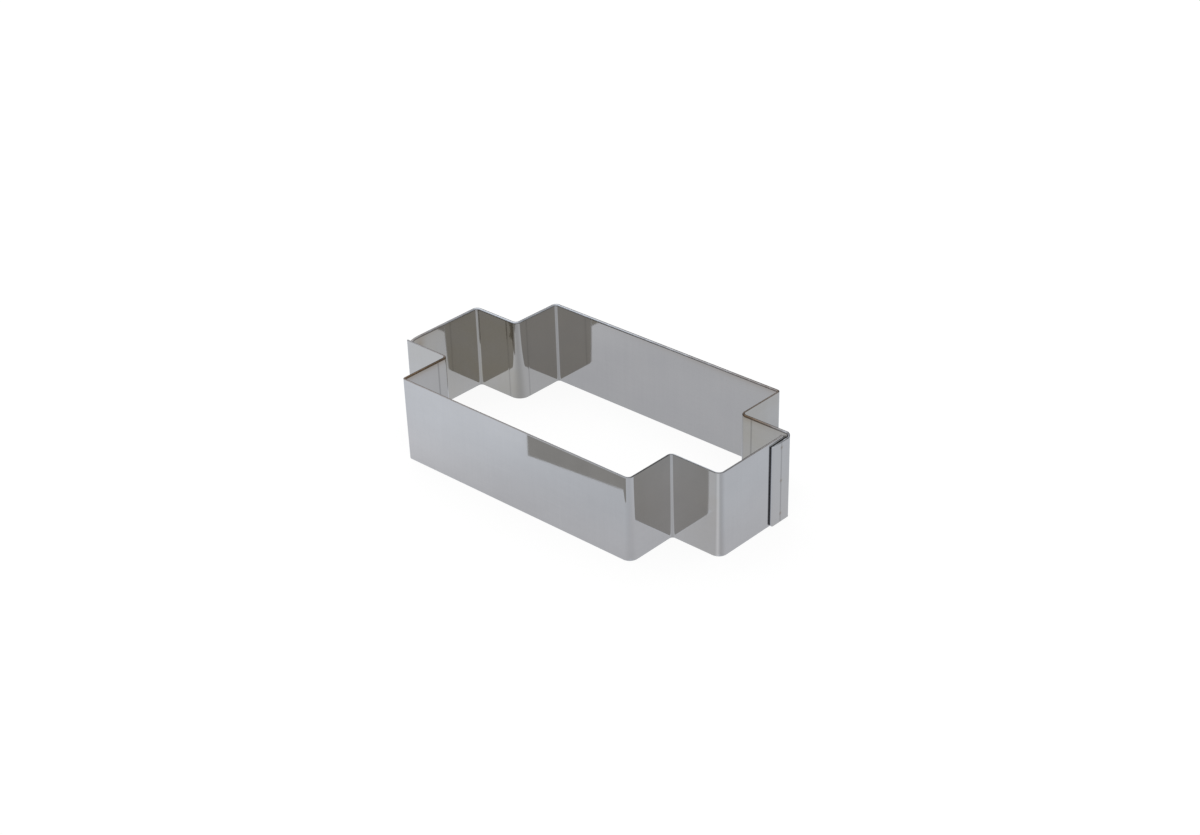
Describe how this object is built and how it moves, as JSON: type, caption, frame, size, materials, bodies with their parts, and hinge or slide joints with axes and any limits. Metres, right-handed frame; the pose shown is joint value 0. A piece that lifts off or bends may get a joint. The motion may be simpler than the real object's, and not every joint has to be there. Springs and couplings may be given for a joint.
{
  "type": "pastry cutter",
  "caption": "Open rectangular pastry cutter with notched corners, folded on edge from bright steel strip and spot welded at two lapped corners.",
  "frame": {"origin": "centre of the footprint, on the plane of the lower rim", "axes": "+X along the ring's length, +Y along its width, +Z from the lower rim to the upper rim"},
  "size_m": [0.1156, 0.06, 0.025],
  "materials": {
    "strip_steel": "polished",
    "weld_metal": "satin"
  },
  "bodies": {
    "root": {"back_strip": "strip_steel", "front_strip": "strip_steel", "right_seam_welds": "weld_metal", "left_seam_welds": "weld_metal"}
  },
  "joints": []
}
